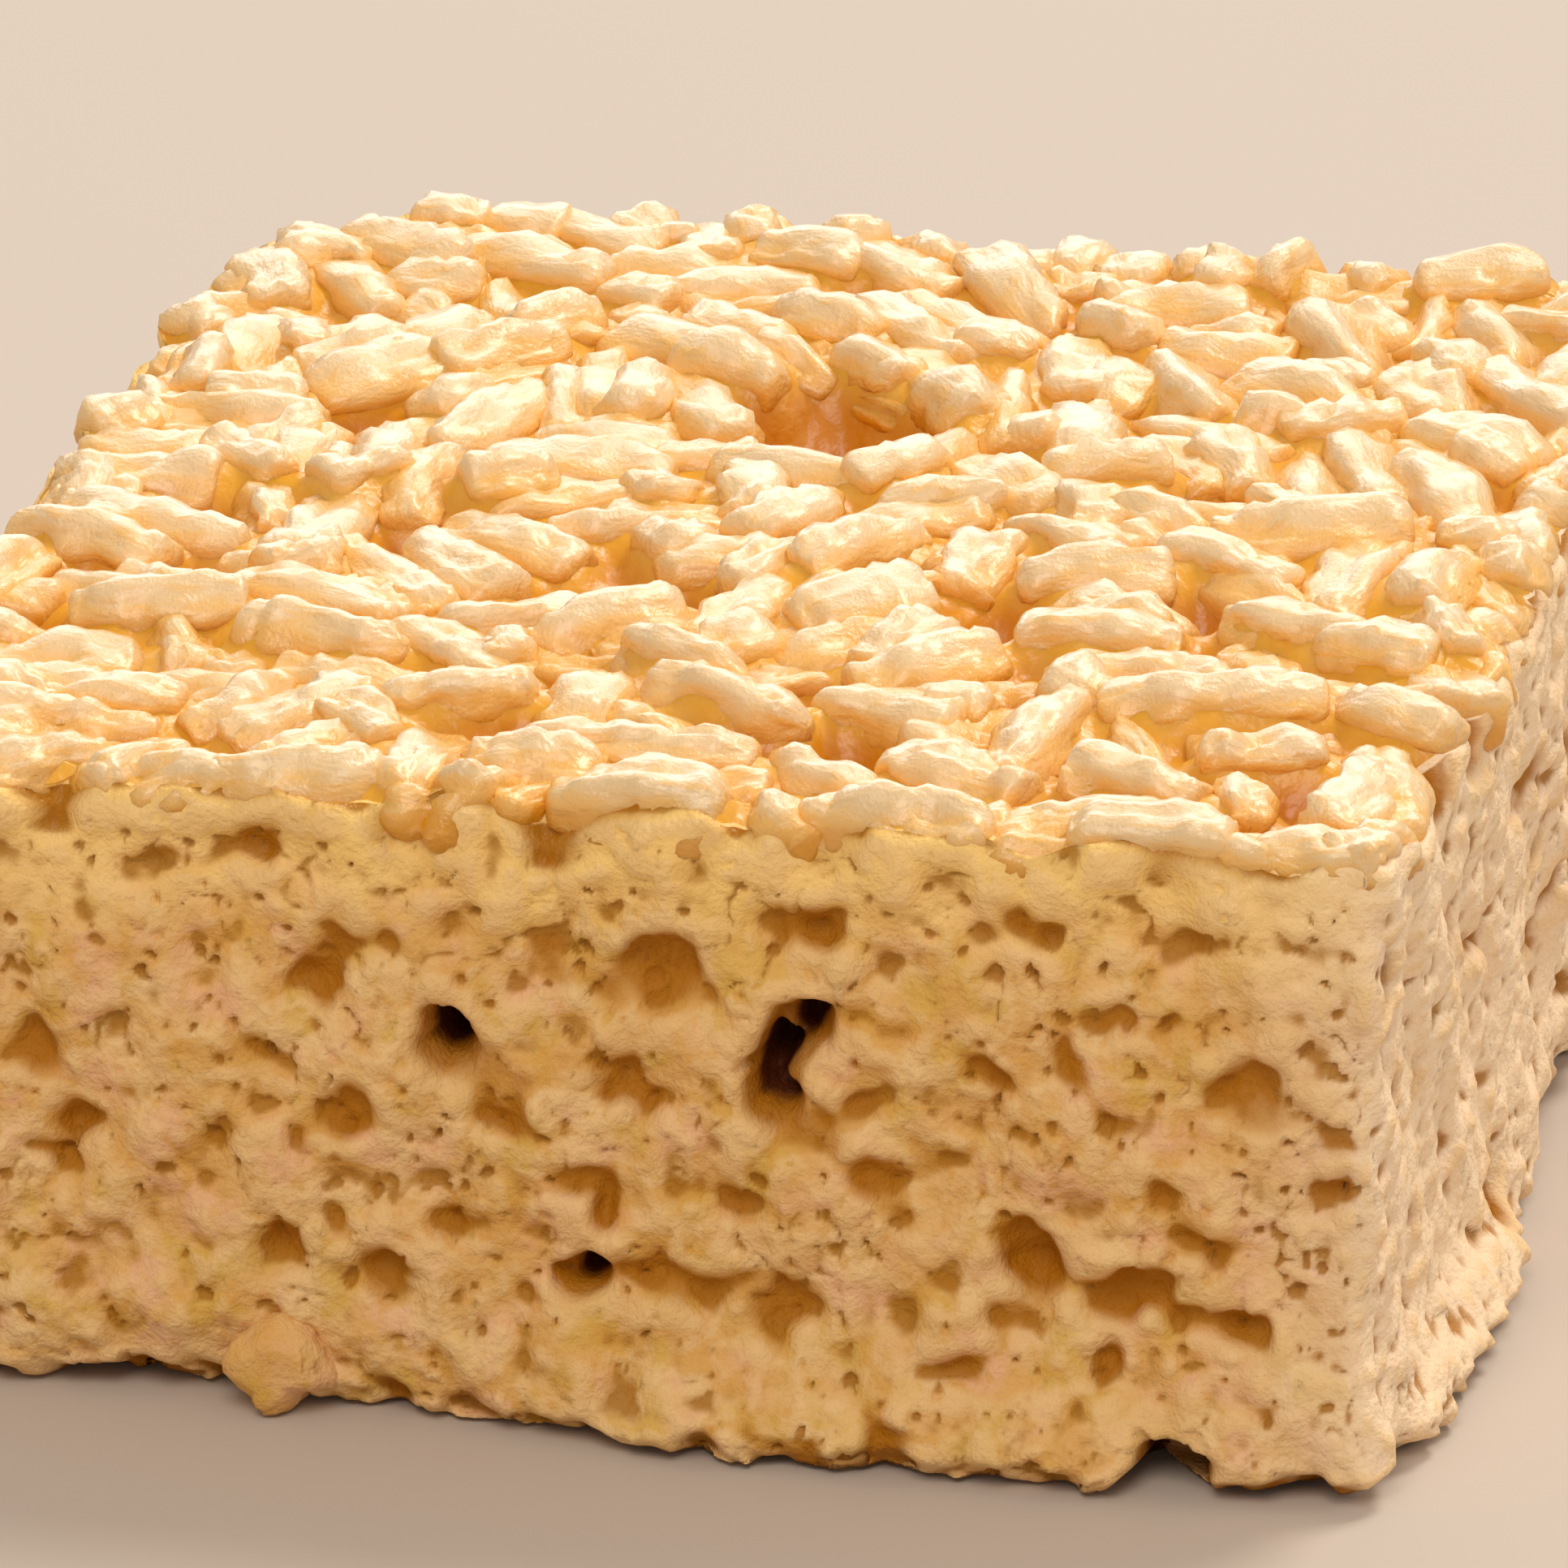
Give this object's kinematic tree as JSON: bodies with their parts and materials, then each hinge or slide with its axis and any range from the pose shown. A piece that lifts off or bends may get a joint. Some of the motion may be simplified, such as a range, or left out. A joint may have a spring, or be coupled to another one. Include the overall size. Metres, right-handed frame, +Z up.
{
  "type": "rice crispy treat",
  "caption": "A square of puffed rice set in marshmallow, cut with a knife, with a pressed top of loose-looking glossy grains and dense, pitted cut sides. It lies flat on its base.",
  "frame": {"origin": "the middle of the block's footprint, on the surface it rests on", "axes": "+Z up; +Y from the pitted front cut face to the back, along the longest side; +X to the right seen from the front"},
  "size_m": [0.0529, 0.0563, 0.0228],
  "materials": {
    "puffed_rice": "satin"
  },
  "bodies": {
    "root": {"treat": "puffed_rice"}
  },
  "joints": []
}
